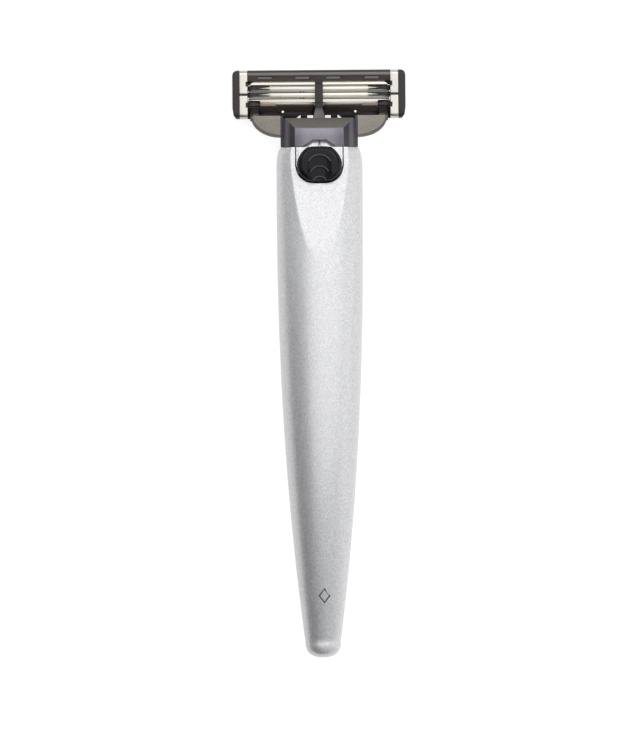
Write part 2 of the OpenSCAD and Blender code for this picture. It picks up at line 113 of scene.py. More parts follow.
# ---------------------------------------------------------------- shader expressions
class Value:
    """A shader socket that takes part in Python arithmetic."""

    def __init__(self, graph: "Graph", socket: bpy.types.NodeSocket) -> None:
        """Wrap one output socket of a graph."""
        self.graph = graph
        self.socket = socket

    def _with(self, operation: str, other: "Value | float", swap: bool = False) -> "Value":
        """Add one Math node between this value and another.

        Args:
            operation: Name of the Math operation.
            other: The other operand.
            swap: Whether the other operand comes first.

        Returns:
            The node's result.
        """
        pair = [other, self] if swap else [self, other]
        return self.graph.value("ShaderNodeMath", {"operation": operation}, {0: pair[0], 1: pair[1]})

    def __add__(self, other: "Value | float") -> "Value":
        """Sum."""
        return self._with("ADD", other)

    def __sub__(self, other: "Value | float") -> "Value":
        """Difference."""
        return self._with("SUBTRACT", other)

    def __mul__(self, other: "Value | float") -> "Value":
        """Product."""
        return self._with("MULTIPLY", other)

    def __truediv__(self, other: "Value | float") -> "Value":
        """Quotient."""
        return self._with("DIVIDE", other)

    def __pow__(self, other: "Value | float") -> "Value":
        """Power."""
        return self._with("POWER", other)

    def __radd__(self, other: float) -> "Value":
        """Sum with a number in front."""
        return self._with("ADD", other, True)

    def __rsub__(self, other: float) -> "Value":
        """Difference from a number."""
        return self._with("SUBTRACT", other, True)

    def __rmul__(self, other: float) -> "Value":
        """Product with a number in front."""
        return self._with("MULTIPLY", other, True)

    def at_least(self, other: "Value | float") -> "Value":
        """The larger of two values."""
        return self._with("MAXIMUM", other)

    def size(self) -> "Value":
        """The value without its sign."""
        return self.graph.value("ShaderNodeMath", {"operation": "ABSOLUTE"}, {0: self})

    def step(self, low: float, high: float) -> "Value":
        """Rise smoothly from 0 at low to 1 at high, or fall when high is lower.

        Args:
            low: Where the result is 0.
            high: Where the result is 1.

        Returns:
            The smooth step.
        """
        ends = (low, high, 0.0, 1.0) if low < high else (high, low, 1.0, 0.0)
        return self.graph.value(
            "ShaderNodeMapRange",
            {"interpolation_type": "SMOOTHSTEP"},
            {"Value": self, "From Min": ends[0], "From Max": ends[1], "To Min": ends[2], "To Max": ends[3]},
        )


class Graph:
    """The node graph of one material, around one Principled shader."""

    def __init__(self, name: str) -> None:
        """Start a material with a bare Principled shader."""
        self.material = bpy.data.materials.new(name)
        self.material.use_nodes = True
        self.tree = self.material.node_tree
        self.shader = self.tree.nodes["Principled BSDF"]

    def node(self, kind: str, settings: dict | None = None, inputs: dict | None = None) -> bpy.types.Node:
        """Add a node, its settings first and then its sockets.

        Args:
            kind: The node's type.
            settings: Attribute values; "stops" sets a colour ramp.
            inputs: Values or links by socket name or number.

        Returns:
            The node.
        """
        made = self.tree.nodes.new(kind)
        for key, setting in (settings or {}).items():
            if key == "stops":
                self._stops(made.color_ramp, setting)
            else:
                setattr(made, key, setting)
        for key, given in (inputs or {}).items():
            self.feed(made.inputs[key], given)
        return made

    def value(self, kind: str, settings: dict | None = None, inputs: dict | None = None,
              out: str | int = 0) -> Value:
        """Add a node and wrap one of its outputs.

        Args:
            kind: The node's type.
            settings: Attribute values, as for node().
            inputs: Values or links, as for node().
            out: Name or number of the output.

        Returns:
            The wrapped output.
        """
        return Value(self, self.node(kind, settings, inputs).outputs[out])

    def feed(self, socket: bpy.types.NodeSocket, given: object) -> None:
        """Link or set one input socket.

        Args:
            socket: The input.
            given: A wrapped output, a number or a colour.
        """
        if isinstance(given, Value):
            self.tree.links.new(given.socket, socket)
        elif socket.type == "RGBA" and len(given) == 3:
            socket.default_value = (*given, 1.0)
        else:
            socket.default_value = given

    @staticmethod
    def _stops(ramp: bpy.types.ColorRamp, stops: Sequence[tuple[float, Colour]]) -> None:
        """Set the stops of a colour ramp."""
        while len(ramp.elements) < len(stops):
            ramp.elements.new(1.0)
        for element, (place, colour) in zip(ramp.elements, stops):
            element.position = place
            element.color = (*colour, 1.0)

    def place(self) -> Value:
        """Position on the object, in metres."""
        return self.value("ShaderNodeTexCoord", out="Object")

    def axes(self) -> tuple[Value, Value, Value]:
        """The three coordinates of the position, in millimetres."""
        split = self.node("ShaderNodeSeparateXYZ", inputs={0: self.place()})
        return tuple(Value(self, split.outputs[k]) * (1 / MM) for k in range(3))

    def neck_axes(self) -> tuple[Value, Value]:
        """Distance along the neck and height above it, in millimetres."""
        _, y, z = self.axes()
        cos, sin = math.cos(NECK_TILT), math.sin(NECK_TILT)
        return (y - NECK_Y) * cos - (z - NECK_Z) * sin, (y - NECK_Y) * sin + (z - NECK_Z) * cos

    def stretched(self, scale: Point, turn: Point = (0, 0, 0)) -> Value:
        """Position turned and stretched for a pattern.

        Args:
            scale: Stretch along each axis.
            turn: Turn about each axis, in degrees.

        Returns:
            The changed position.
        """
        return self.value("ShaderNodeMapping", None, {
            "Vector": self.place(), "Scale": scale, "Rotation": tuple(math.radians(t) for t in turn)})

    def noise(self, per_mm: float, detail: float = 2, vector: Value | None = None) -> Value:
        """Noise with so many features to a millimetre.

        Args:
            per_mm: Features per millimetre.
            detail: Octaves.
            vector: Changed position, or none for the plain one.

        Returns:
            The noise, about 0 to 1.
        """
        return self.value("ShaderNodeTexNoise", None, {
            "Vector": vector or self.place(), "Scale": per_mm / MM, "Detail": detail})

    def cells(self, per_mm: float, out: str = "Color") -> Value:
        """Small random cells, as of metal flakes.

        Args:
            per_mm: Cells per millimetre.
            out: Which output of the pattern.

        Returns:
            The pattern.
        """
        return self.value(
            "ShaderNodeTexVoronoi", None, {"Vector": self.place(), "Scale": per_mm / MM}, out)

    def blend(self, amount: Value | float, low: object, high: object) -> Value:
        """Mix two colours.

        Args:
            amount: 0 for the first, 1 for the second.
            low: First colour.
            high: Second colour.

        Returns:
            The mixed colour.
        """
        return self.value("ShaderNodeMix", {"data_type": "RGBA"}, {0: amount, 6: low, 7: high}, 2)

    def grey(self, colour: Value) -> Value:
        """Brightness of a colour."""
        return self.value("ShaderNodeRGBToBW", None, {0: colour})

    def bump(self, height: Value, depth_mm: float, under: Value | None = None,
             strength: float = 1.0) -> Value:
        """Turn a height pattern into a normal.

        Args:
            height: The pattern, about 0 to 1.
            depth_mm: Depth of the relief in millimetres.
            under: Normal to start from.
            strength: How much of the relief shows.

        Returns:
            The normal.
        """
        inputs = {"Height": height, "Distance": depth_mm * MM, "Strength": strength}
        if under is not None:
            inputs["Normal"] = under
        return self.value("ShaderNodeBump", None, inputs)

    def finish(self, **sockets: object) -> bpy.types.Material:
        """Set the shader's sockets by name, with _ for a space.

        Args:
            sockets: Values or links.

        Returns:
            The material.
        """
        for name, given in sockets.items():
            self.feed(self.shader.inputs[name.replace("_", " ")], given)
        return self.material


# ---------------------------------------------------------------- finishes
@dataclass(frozen=True)
class Lacquer:
    """Silver lacquer with fine metal flake."""

    name: str = "silver_lacquer"
    shade: Colour = srgb(214, 213, 212)
    flakes: Colour = srgb(184, 184, 185)
    metal: float = 0.6
    rough: float = 0.4
    flake_per_mm: float = 4.2

    def tint(self, g: Graph, colour: Value) -> Value:
        """Change of colour over the surface; plain lacquer has none."""
        return colour

    def make(self) -> bpy.types.Material:
        """Build the material."""
        g = Graph(self.name)
        flake = g.grey(g.cells(self.flake_per_mm))
        fine = g.grey(g.cells(self.flake_per_mm * 2.3))
        cloud = g.noise(0.35, 3)
        grain = (flake * 0.6 + fine * 0.4).step(0.2, 0.85)
        colour = g.blend(grain, self.flakes, self.shade)
        colour = g.blend(cloud.step(0.35, 0.75) * 0.12, colour, srgb(190, 188, 186))
        normal = g.bump(flake * 0.5 + fine * 0.5, 0.02, strength=0.5)
        return g.finish(
            Base_Color=self.tint(g, colour), Metallic=self.metal, Roughness=self.rough + grain * 0.1 - 0.05,
            Coat_Weight=0.35, Coat_Roughness=0.12, Normal=normal)


@dataclass(frozen=True)
class DeckLacquer(Lacquer):
    """The connector's finish: lacquer on its deck, with painted shade on the nose inside the hub."""

    # colour of the painted shade on the nose inside the hub
    nose_shade: Colour = srgb(150, 149, 154)

    def tint(self, g: Graph, colour: Value) -> Value:
        """Painted shade, darker from the deck's end up the nose into the hub."""
        along, _ = g.neck_axes()
        return g.blend(along.step(0.0, 1.6) * 0.75, colour, self.nose_shade)


@dataclass(frozen=True)
class Moulded:
    """Moulded plastic with a fine spark-eroded texture, mottled between two tones."""

    name: str
    shade: Colour
    other: Colour
    rough: float = 0.45
    grain_per_mm: float = 9.0
    grain_depth: float = 0.012
    metal: float = 0.0
    coat: float = 0.0
    specular: float = 0.5

    def colour(self, g: Graph) -> Value:
        """Colour, mottled between the two shades."""
        mottle = g.noise(self.grain_per_mm * 0.5, 4).step(0.3, 0.7)
        return g.blend(mottle, self.shade, self.other)

    def make(self) -> bpy.types.Material:
        """Build the material."""
        g = Graph(self.name)
        grain = g.noise(self.grain_per_mm, 3)
        flow = g.noise(0.25, 2)
        return g.finish(
            Base_Color=self.colour(g), Metallic=self.metal,
            Roughness=(flow.step(0.3, 0.7) * 0.1 + grain * 0.08 + (self.rough - 0.09)),
            Coat_Weight=self.coat, Coat_Roughness=0.08, Specular_IOR_Level=self.specular,
            Normal=g.bump(grain, self.grain_depth))


@dataclass(frozen=True)
class HubPaint(Moulded):
    """The hub's moulding: a cool top panel, a warm tone on the strip, the wings and the arms, and painted
    shade and highlights.
    """

    warm: Colour = srgb(112, 107, 98)
    speckle: Colour = srgb(150, 145, 134)
    # colour of the painted shade on the side facets, wing rims, notch, arms and panel, also used for the
    # darker strip
    dark: Colour = srgb(36, 33, 35)
    waist: float = 9.4
    panel_height: float = 4.09
    panel_half: float = 5.55
    strip_lean: float = 1.423
    strip_start: float = 10.76
    wing_middle: tuple[float, float] = (8.77, 8.95)
    wing_reach: tuple[float, float] = (7.73, 5.18)

    def colour(self, g: Graph) -> Value:
        """Cool on the top panel, warm on the strip and the wings, with a darker strip, painted shade on the
        sides, wing rims, notch, arms and panel, and a painted highlight streak on each side.
        """
        x, y, _ = g.axes()
        along, up = g.neck_axes()
        across = x.size()
        base = super().colour(g)
        speck = g.grey(g.cells(9)).step(0.25, 0.8)
        warm = g.blend(speck * 0.4, self.warm, self.speckle)
        wing = across.step(self.waist - 0.05, self.waist + 0.05)
        front = (along + up * self.strip_lean).step(self.strip_start - 0.1, self.strip_start + 0.1)
        base = g.blend(front.at_least(wing), base, warm)
        (wide, long), (cx, cy) = self.wing_reach, self.wing_middle
        oval = ((across - cx) / wide) ** 2 + ((cy - along) / long) ** 2
        # painted shade along the rim of each wing
        rim = oval.step(0.84, 0.93) * wing
        below = up.step(self.panel_height + 0.05, self.panel_height - 0.05)
        panel = (1 - front) * (1 - wing) * (1 - below)
        # painted shade on the side facets
        facet_shade = below * across.step(self.panel_half - 0.1, self.panel_half + 0.1) * (1 - wing) * (1 - front)
        # painted shade in the notch over the nose
        notch_shade = up.step(4.12, 4.02) * across.step(5.4, 5.3) * along.step(2.6, 2.4)
        # darkens the strip but not the wings
        tread = front * (1 - wing) * 0.42
        # painted shade on the arms where they run in under the housing
        arm = across.step(13.6, 13.9) * y.step(60.4, 61.0)
        # painted shade towards the panel's sides and its near end
        hollow = (across.step(2.6, 5.6) * 0.4 + along.step(4.4, 2.2) * 0.18) * panel
        # painted highlight streak down the middle of each side facet
        streak = across.step(6.9, 7.7) * across.step(8.7, 7.9) * facet_shade * 0.32
        # all the painted shade, less the painted highlight streak, with the darker strip
        dark = (rim * 0.7).at_least(facet_shade * 0.97 - streak).at_least(notch_shade * 0.3).at_least(tread)
        return g.blend(dark.at_least(arm * 0.85).at_least(hollow), base, self.dark)


@dataclass(frozen=True)
class HousingPlastic(Moulded):
    """The housing's dark plastic, with a painted highlight along its upper edge, browner on the guard's
    slope.
    """

    # colour of the painted highlight along the cap edge
    cap_edge_highlight: Colour = srgb(124, 117, 111)
    slope: Colour = srgb(48, 39, 33)
    patch: Colour = srgb(158, 138, 124)

    def colour(self, g: Graph) -> Value:
        """Dark, with a painted highlight band along the cap edge, a brown slope and two pale patches on it.
        """
        x, y, z = g.axes()
        base = super().colour(g)
        across = x.size()
        streak = g.noise(1.2, 3, g.stretched((0.12, 1, 1)))
        # painted highlight band along the cap edge, broken up by the streaky noise
        band = (y.step(69.95, 70.2) * y.step(70.85, 70.6)) * z.step(3.5, 4.5) * across.step(17.4, 17.2)
        slope = y.step(61.2, 61.4) * y.step(63.2, 63.1) * z.step(3.1, 3.4) * across.step(17.3, 17.2)
        patch = (across.step(10.2, 10.6) * across.step(14.4, 14.0)) * (
            y.step(62.55, 62.85) * y.step(64.5, 64.4)) * (z.step(2.6, 2.7) * z.step(4.6, 4.5))
        base = g.blend(slope * 0.8, base, self.slope)
        base = g.blend(patch * (0.5 + streak * 0.5), base, self.patch)
        return g.blend(band * (0.55 + streak * 0.4), base, self.cap_edge_highlight)


@dataclass(frozen=True)
class SupportSteel:
    """Bright strip steel, with painted shade on the lower part of each bend."""

    name: str = "support_steel"
    shade: Colour = srgb(222, 218, 207)
    # colour of the painted shade on each bend's lower part, and of the darker grain and smears
    lower: Colour = srgb(190, 183, 171)
    start: float = 62.8
    pitch: float = 1.55
    lower_part: float = 0.465

    def make(self) -> bpy.types.Material:
        """Build the material."""
        g = Graph(self.name)
        _, y, _ = g.axes()
        part = g.value("ShaderNodeMath", {"operation": "FRACT"}, {0: (y - self.start) / self.pitch})
        grain = g.noise(12, 3, g.stretched((0.02, 1, 1)))
        smear = g.noise(0.5, 3, g.stretched((0.3, 1, 1)))
        # painted shade on the lower part of each pitch
        tone = g.blend(part.step(self.lower_part + 0.025, self.lower_part - 0.025), self.shade, self.lower)
        tone = g.blend(grain.step(0.3, 0.8) * 0.25 + smear.step(0.5, 0.8) * 0.2, tone, self.lower)
        return g.finish(Base_Color=tone, Metallic=1.0, Roughness=grain * 0.15 + smear * 0.1 + 0.2,
                        Normal=g.bump(grain, 0.004))


@dataclass(frozen=True)
class Metal:
    """Bare or plated metal with a drawn or ground grain."""

    name: str
    shade: Colour
    other: Colour
    rough: float = 0.25
    stretch: Point = (0.02, 1, 1)
    turn: Point = (0, 0, 0)
    grain_per_mm: float = 14.0
    grain_depth: float = 0.004
    metal: float = 1.0
    spots: float = 0.0

    def make(self) -> bpy.types.Material:
        """Build the material."""
        g = Graph(self.name)
        grain = g.noise(self.grain_per_mm, 3, g.stretched(self.stretch, self.turn))
        stain = g.noise(0.6, 4)
        shade = g.blend(grain.step(0.25, 0.75), self.other, self.shade)
        if self.spots:
            shade = g.blend(stain.step(0.55, 0.75) * self.spots, shade, srgb(120, 112, 104))
        return g.finish(
            Base_Color=shade, Metallic=self.metal,
            Roughness=grain * 0.16 + stain * 0.08 + (self.rough - 0.12),
            Normal=g.bump(grain, self.grain_depth))


@dataclass(frozen=True)
class Gel:
    """Waxy lubricating strip, slightly translucent, with fine bubbles."""

    name: str = "lubricating_gel"
    shade: Colour = srgb(150, 196, 190)
    other: Colour = srgb(118, 172, 170)

    def make(self) -> bpy.types.Material:
        """Build the material."""
        g = Graph(self.name)
        cloud = g.noise(0.8, 4, g.stretched((0.15, 1, 1)))
        pores = g.cells(5, "Distance")
        return g.finish(
            Base_Color=g.blend(cloud.step(0.3, 0.7), self.shade, self.other),
            Roughness=0.28 + cloud * 0.2, Subsurface_Weight=0.25,
            Subsurface_Radius=(0.6 * MM, 0.9 * MM, 0.9 * MM), Normal=g.bump(pores, 0.03, g.bump(cloud, 0.05)))


class Finishes:
    """Every material of the razor, made once."""

    def __init__(self) -> None:
        """Build the materials."""
        self.lacquer = Lacquer().make()
        self.deck = DeckLacquer("silver_lacquer_deck", metal=0.55, rough=0.3).make()
        self.mark = Moulded("printed_mark", srgb(84, 84, 86), srgb(66, 66, 70), 0.35).make()
        self.button = Moulded("gloss_black", srgb(13, 13, 14), srgb(20, 20, 22), 0.13, 4.0, 0.002,
                              specular=0.16).make()
        # the ridges are coloured lighter than the button's black, as a painted highlight on their crests
        self.ridge = Moulded("ridge_painted_highlight", srgb(34, 34, 36), srgb(27, 27, 29), 0.24, 4.0, 0.002,
                             specular=0.4).make()
        self.hub = HubPaint("hub_paint", srgb(140, 136, 146), srgb(126, 122, 132), 0.42, 7.0, 0.01,
                            metal=0.25).make()
        self.pad = Moulded("pale_pad", srgb(96, 94, 92), srgb(84, 82, 81), 0.4).make()
        self.rib_pad = Moulded("rib_pad", srgb(96, 92, 100), srgb(84, 80, 88), 0.4).make()
        self.plunger = Moulded("plunger_grey", srgb(99, 94, 94), srgb(84, 80, 80), 0.35).make()
        self.housing = HousingPlastic("housing_umber", srgb(42, 35, 32), srgb(33, 27, 25), 0.38, 6.0, 0.014,
                                      specular=0.35).make()
        self.dark = Moulded("fork_black", srgb(30, 30, 31), srgb(22, 22, 23), 0.45).make()
        self.carrier = Moulded("carrier_cream", srgb(204, 196, 178), srgb(190, 181, 163), 0.4).make()
        # the rail's lower strip gets the same painted shade as the supports' bends
        self.rail = SupportSteel(
            "carrier_rail", srgb(236, 229, 214), srgb(176, 165, 152), 67.6, 1.4, 0.22).make()
        self.guard = Moulded("guard_rubber", srgb(38, 84, 112), srgb(30, 70, 96), 0.62, 12.0, 0.02).make()
        self.clip = Metal(
            "clip_aluminium", srgb(200, 197, 190), srgb(184, 181, 173), 0.34, (1, 0.03, 1)).make()
        self.support = SupportSteel().make()
        self.blade = Metal(
            "blade_steel", srgb(226, 226, 228), srgb(206, 207, 210), 0.16, grain_depth=0.002).make()
        self.spring = Metal("spring_steel", srgb(176, 176, 178), srgb(150, 150, 152), 0.3).make()
        self.screw = Metal("screw_steel", srgb(160, 160, 163), srgb(140, 140, 144), 0.35).make()
        self.weight = Metal("weight_steel", srgb(132, 131, 130), srgb(112, 111, 110), 0.42, (1, 0.03, 1),
                            spots=0.5).make()
        self.gel = Gel().make()
        self.post = Metal("post_tin", srgb(225, 222, 214), srgb(205, 200, 190), 0.3, (1, 1, 1)).make()


# ---------------------------------------------------------------- modelling
class Bench:
    """Modelling by operators, with every size in millimetres."""

    @staticmethod
    def clear() -> None:
        """Leave edit mode and deselect everything."""
        if bpy.context.object and bpy.context.object.mode != "OBJECT":
            bpy.ops.object.mode_set(mode="OBJECT")
        bpy.ops.object.select_all(action="DESELECT")

    @classmethod
    def take(cls, *pieces: bpy.types.Object) -> bpy.types.Object:
        """Select these pieces alone, the first one active.

        Args:
            pieces: The pieces.

        Returns:
            The first piece.
        """
        cls.clear()
        for piece in pieces:
            piece.select_set(True)
        bpy.context.view_layer.objects.active = pieces[0]
        return pieces[0]

    @classmethod
    @contextmanager
    def editing(cls, piece: bpy.types.Object, mode: str = "FACE",
                everything: bool = False) -> Iterator[None]:
        """Edit one piece, with nothing or everything selected at first.

        Args:
            piece: The piece.
            mode: VERT, EDGE or FACE.
            everything: Whether all of it starts selected.
        """
        cls.take(piece)
        bpy.ops.object.mode_set(mode="EDIT")
        bpy.ops.mesh.select_mode(type=mode)
        bpy.ops.mesh.select_all(action="SELECT" if everything else "DESELECT")
        yield
        bpy.ops.object.mode_set(mode="OBJECT")

    @staticmethod
    def pick(piece: bpy.types.Object, test: Callable[[Vector, Vector], bool], kind: str = "faces") -> int:
        """Select faces, edges or corners in edit mode by place and normal.

        Args:
            piece: The piece being edited.
            test: Takes the middle in millimetres and the normal.
            kind: faces, edges or verts.

        Returns:
            How many were selected.
        """
        mesh = bmesh.from_edit_mesh(piece.data)
        count = 0
        for item in getattr(mesh, kind):
            if kind == "faces":
                middle, normal = item.calc_center_median(), item.normal
            elif kind == "edges":
                middle = (item.verts[0].co + item.verts[1].co) / 2
                normal = item.verts[1].co - item.verts[0].co
            else:
                middle, normal = item.co, item.normal
            if test(middle / MM, normal):
                item.select_set(True)
                count += 1
        mesh.select_flush_mode()
        bmesh.update_edit_mesh(piece.data)
        return count

    @classmethod
    def bake(cls, piece: bpy.types.Object, turn: Matrix | None = None) -> bpy.types.Object:
        """Put a piece's place into its mesh.

        Args:
            piece: The piece.
            turn: A frame in metres that the piece is set in first.

        Returns:
            The piece.
        """
        if turn is not None:
            piece.matrix_world = turn @ piece.matrix_world
        cls.take(piece)
        bpy.ops.object.transform_apply(location=True, rotation=True, scale=True)
        return piece

    @classmethod
    def box(cls, low: Point, high: Point, turn: Matrix | None = None) -> bpy.types.Object:
        """A box between two corners.

        Args:
            low: Lowest corner.
            high: Highest corner.
            turn: Frame that it is set in.

        Returns:
            The box.
        """
        cls.clear()
        bpy.ops.mesh.primitive_cube_add(
            size=1, location=[(a + b) / 2 * MM for a, b in zip(low, high)],
            scale=[(b - a) * MM for a, b in zip(low, high)])
        return cls.bake(bpy.context.object, turn)

    @classmethod
    def side_box(cls, side: int, across: tuple[float, float], along: tuple[float, float],
                 up: tuple[float, float]) -> bpy.types.Object:
        """A box on one side of the middle plane.

        Args:
            side: 1 for the right, -1 for the left.
            across: Its nearer and farther distance from the middle plane.
            along: Its reach in y.
            up: Its reach in z.

        Returns:
            The box.
        """
        x0, x1 = sorted((side * across[0], side * across[1]))
        return cls.box((x0, along[0], up[0]), (x1, along[1], up[1]))

    @classmethod
    def rod(cls, start: Point, end: Point, radius: float, sides: int = 32,
            turn: Matrix | None = None, tip: float | None = None) -> bpy.types.Object:
        """A round rod or cone between two points.

        Args:
            start: Middle of its first end.
            end: Middle of its other end.
            radius: Radius at the start.
            sides: Sides round it.
            turn: Frame that it is set in.
            tip: Radius at the end, or none for the same.

        Returns:
            The rod.
        """
        a, b = Vector(start) * MM, Vector(end) * MM
        cls.clear()
        bpy.ops.mesh.primitive_cone_add(
            vertices=sides, radius1=radius * MM, radius2=(radius if tip is None else tip) * MM,
            depth=(b - a).length, location=(a + b) / 2, rotation=(b - a).to_track_quat("Z", "Y").to_euler())
        return cls.bake(bpy.context.object, turn)

    @classmethod
    def prism(cls, outline: Sequence[tuple[float, float]], low: float, high: float,
              turn: Matrix | None = None) -> bpy.types.Object:
        """A straight-sided solid over an outline.

        Args:
            outline: Corners in the frame's x and y.
            low: Height of its bottom.
            high: Height of its top.
            turn: Frame that it is set in.

        Returns:
            The solid.
        """
        cls.clear()
        bpy.ops.mesh.primitive_circle_add(vertices=len(outline), fill_type="NGON")
        piece = bpy.context.object
        for corner, (x, y) in zip(piece.data.vertices, outline):
            corner.co = (x * MM, y * MM, low * MM)
        with cls.editing(piece, everything=True):
            bpy.ops.mesh.extrude_region_move(TRANSFORM_OT_translate={"value": (0, 0, (high - low) * MM)})
            bpy.ops.mesh.select_all(action="SELECT")
            bpy.ops.mesh.normals_make_consistent(inside=False)
        return cls.bake(piece, turn)

    @classmethod
    def modify(cls, piece: bpy.types.Object, kind: str, **settings: object) -> bpy.types.Object:
        """Add a modifier and apply it.

        Args:
            piece: The piece.
            kind: The modifier's type.
            settings: Its settings.

        Returns:
            The piece.
        """
        cls.take(piece)
        modifier = piece.modifiers.new(kind.lower(), kind)
        for key, setting in settings.items():
            setattr(modifier, key, setting)
        bpy.ops.object.modifier_apply(modifier=modifier.name)
        return piece

    @classmethod
    def carve(cls, piece: bpy.types.Object, cutter: bpy.types.Object) -> bpy.types.Object:
        """Cut another solid out of a piece.

        Args:
            piece: The piece.
            cutter: The other solid, removed afterwards.

        Returns:
            The piece.
        """
        cls.modify(piece, "BOOLEAN", object=cutter, operation="DIFFERENCE", solver="EXACT")
        mesh = cutter.data
        bpy.data.objects.remove(cutter)
        bpy.data.meshes.remove(mesh)
        return piece

    @classmethod
    def round_edges(cls, piece: bpy.types.Object, width: float, segments: int = 2,
                    angle: float = 30) -> bpy.types.Object:
        """Round every edge sharper than an angle.

        Args:
            piece: The piece.
            width: Width of the rounding.
            segments: Facets across it.
            angle: Least angle, in degrees.

        Returns:
            The piece.
        """
        return cls.modify(
            piece, "BEVEL", width=width * MM, segments=segments, limit_method="ANGLE",
            angle_limit=math.radians(angle), use_clamp_overlap=True, miter_outer="MITER_ARC")

    @classmethod
    def tidy(cls, piece: bpy.types.Object) -> bpy.types.Object:
        """Merge doubles and dissolve the lines across flat faces."""
        with cls.editing(piece, "VERT", everything=True):
            bpy.ops.mesh.remove_doubles(threshold=0.002 * MM)
            bpy.ops.mesh.dissolve_degenerate(threshold=0.001 * MM)
            bpy.ops.mesh.select_all(action="SELECT")
            bpy.ops.mesh.dissolve_limited(angle_limit=math.radians(0.5))
        return piece

    @classmethod
    def copy_node(cls, node: str) -> bpy.types.Object:
        """Copy a CAD node's solid to work on, merged.

        Args:
            node: The node's name.

        Returns:
            The copy.
        """
        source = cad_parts[node]
        piece = bpy.data.objects.new(f"{node}_copy", source.data.copy())
        bpy.context.scene.collection.objects.link(piece)
        piece.data.materials.clear()
        for key in list(piece.keys()):
            del piece[key]
        return cls.tidy(piece)

    @classmethod
    def join(cls, *pieces: bpy.types.Object) -> bpy.types.Object:
        """Join separate solids into one piece."""
        cls.take(*pieces)
        bpy.ops.object.join()
        return bpy.context.object

    @classmethod
    def finish(cls, piece: bpy.types.Object, name: str, body: Body, slot: Slot,
               material: bpy.types.Material, replaces: Sequence[str] = (),
               smooth: float = 35) -> bpy.types.Object:
        """Name a piece, give it its finish and set it on its body.

        Args:
            piece: The piece.
            name: Its name.
            body: The body that it rides on.
            slot: The record's slot for its finish; not used.
            material: Its material.
            replaces: CAD nodes that it stands for.
            smooth: Greatest angle shaded smooth, in degrees.

        Returns:
            The piece.
        """
        piece.name = name
        piece.data.name = name
        piece.data.materials.clear()
        piece.data.materials.append(material)
        cls.take(piece)
        bpy.ops.object.shade_smooth_by_angle(angle=math.radians(smooth))
        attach(piece, body.value)
        if replaces:
            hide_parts(*replaces)
        LOG.info("%s: %d faces", name, len(piece.data.polygons))
        return piece


def coil_spring(node: str, name: str, body: Body,
                material: bpy.types.Material) -> None:
    """Stand in for a coil spring with a copy of it that has a mesh of its own.

    Args:
        node: The CAD node.
        name: The new piece's name.
        body: The body that holds it.
        material: Its material.
    """
    piece = Bench.finish(Bench.copy_node(node), name, body, Slot.SPRING, material, [node], 60)
    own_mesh(piece)


def dress(node: str, material: bpy.types.Material) -> None:
    """Give a carried-over CAD node its material.

    Args:
        node: The node's name.
        material: The material.
    """
    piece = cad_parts[node]
    if not piece.material_slots:
        piece.data.materials.append(material)
    for held in piece.material_slots:
        held.material = material
    LOG.info("%s keeps its solid", node)


# ---------------------------------------------------------------- the button's outline
BUTTON_CORNERS = ((2.2, -8.85), (3.7, -8.2), (4.95, -6.95), (5.4, -5.7), (5.5, -4.3), (5.2, -3.15),
                  (4.4, -1.75), (3.5, -0.75), (2.6, -0.15))


def button_outline(gap: float = 0.0) -> list[tuple[float, float]]:
    """The button's rounded outline in the neck's frame.

    Args:
        gap: How far outside the button it runs.

    Returns:
        Its corners.
    """
    outline = list(BUTTON_CORNERS) + [(-x, y) for x, y in reversed(BUTTON_CORNERS)]
    for _ in range(3):
        outline = [(a[0] + (b[0] - a[0]) * t, a[1] + (b[1] - a[1]) * t)
                   for a, b in zip(outline, outline[1:] + outline[:1]) for t in (0.25, 0.75)]
    wide, long, middle = 5.5, 4.35, -4.5
    return [(x * (1 + gap / wide), middle + (y - middle) * (1 + gap / long)) for x, y in outline]


